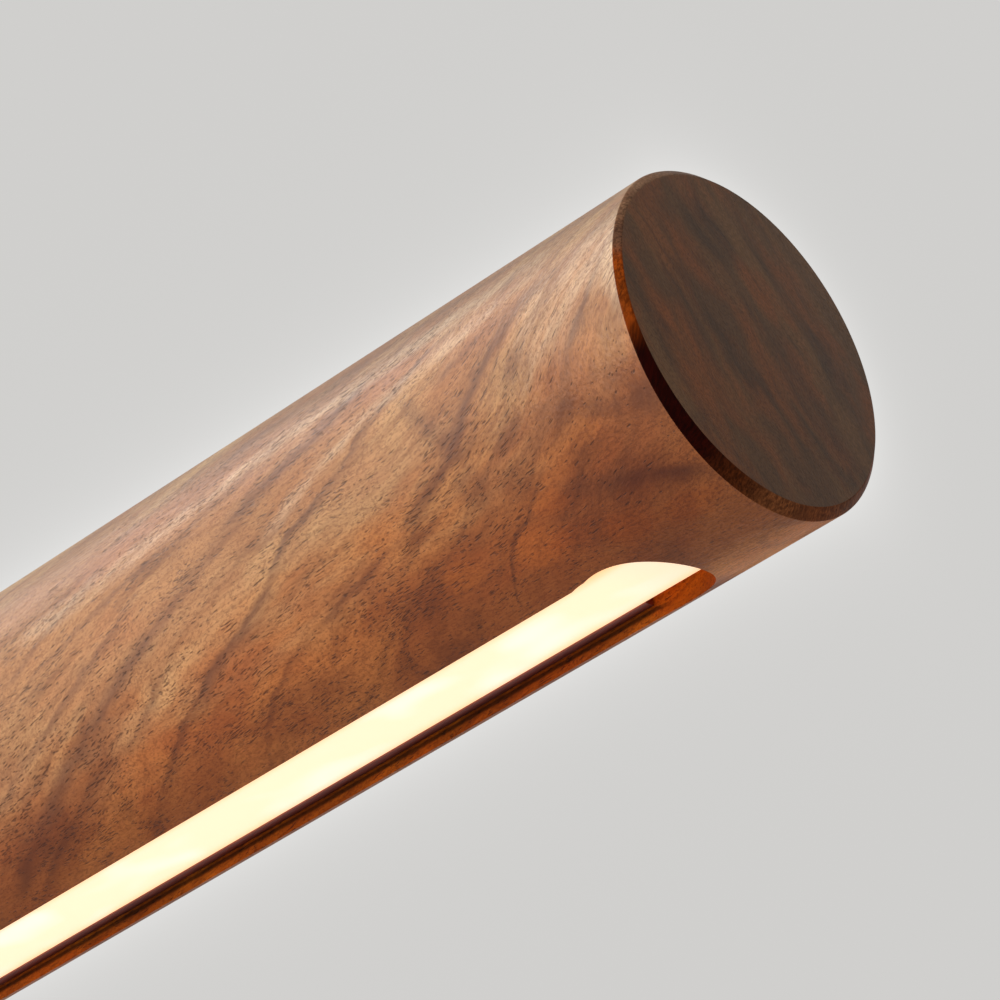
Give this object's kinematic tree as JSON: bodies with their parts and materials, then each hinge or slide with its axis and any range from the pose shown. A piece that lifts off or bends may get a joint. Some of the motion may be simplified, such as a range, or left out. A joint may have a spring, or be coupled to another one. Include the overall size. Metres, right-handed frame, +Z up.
{
  "type": "balance table lamp",
  "caption": "Cordless table lamp: a round wooden light bar with an underside slot, held at its balance point by a magnet on a swivelling stem and weighted base.",
  "frame": {"origin": "centre of the base pad's underside, on the table", "axes": "+Z up along the stem, +X towards the light bar's free end, -Y towards the side that the bar is on"},
  "size_m": [0.4326, 0.14, 0.4078],
  "materials": {
    "walnut": "satin",
    "brass": "satin",
    "steel": "satin",
    "nickel": "polished",
    "bronze_anodised": "satin",
    "diffuser": "matte",
    "chip": "gloss",
    "board_white": "satin",
    "board_green": "satin",
    "black_plastic": "matte",
    "ivory_plastic": "matte",
    "cell_wrap": "satin",
    "lead": "matte",
    "cork": "matte"
  },
  "bodies": {
    "base": {"base_disc": "walnut", "ballast": "steel", "ballast_screws": "steel", "swivel_bush": "brass", "thrust_washer": "ivory_plastic", "base_pad": "cork"},
    "stem": {"stem": "brass", "stem_plug": "brass", "stem_collar": "brass", "collar_screw": "steel", "stem_washer": "steel", "stem_bolt": "steel", "head_block": "brass", "head_screw": "steel", "front_bush": "ivory_plastic", "rear_bush": "ivory_plastic"},
    "magnet_mount": {"magnet_cup": "brass", "magnet": "nickel", "tilt_spindle": "steel", "spring_washer": "steel", "tension_knob": "brass"},
    "light_bar": {"bar_body": "walnut", "keeper_plate": "steel", "keeper_screws": "steel", "light_channel": "bronze_anodised", "channel_screws": "steel", "led_board": "board_white", "led_chips": "chip", "diffuser": "diffuser", "cell_tray": "black_plastic", "cell": "cell_wrap", "cell_contacts": "nickel", "cell_leads": "lead", "lamp_leads": "lead", "control_board": "board_green", "board_components": "black_plastic", "inlet": "nickel", "cap_ring": "brass", "end_cap": "walnut", "switch_body": "black_plastic"},
    "button": {"button": "brass", "switch_plunger": "black_plastic"}
  },
  "joints": [
    {"name": "swivel", "type": "hinge", "parent": "base", "child": "stem", "pos_m": [0, 0, 0.024], "axis": [0, 0, 1], "continuous": true},
    {"name": "tilt", "type": "hinge", "parent": "stem", "child": "magnet_mount", "pos_m": [0, -0.034, 0.33], "axis": [0, -1, 0], "continuous": true},
    {"name": "pull_off", "type": "slide", "parent": "magnet_mount", "child": "light_bar", "axis": [0, -1, 0], "range_m": [0, 0.05]},
    {"name": "press", "type": "slide", "parent": "light_bar", "child": "button", "axis": [0.9627, 0, 0.2706], "range_m": [0, 0.001], "stiffness_N_per_m": 1500, "springref_m": -0.0008}
  ]
}
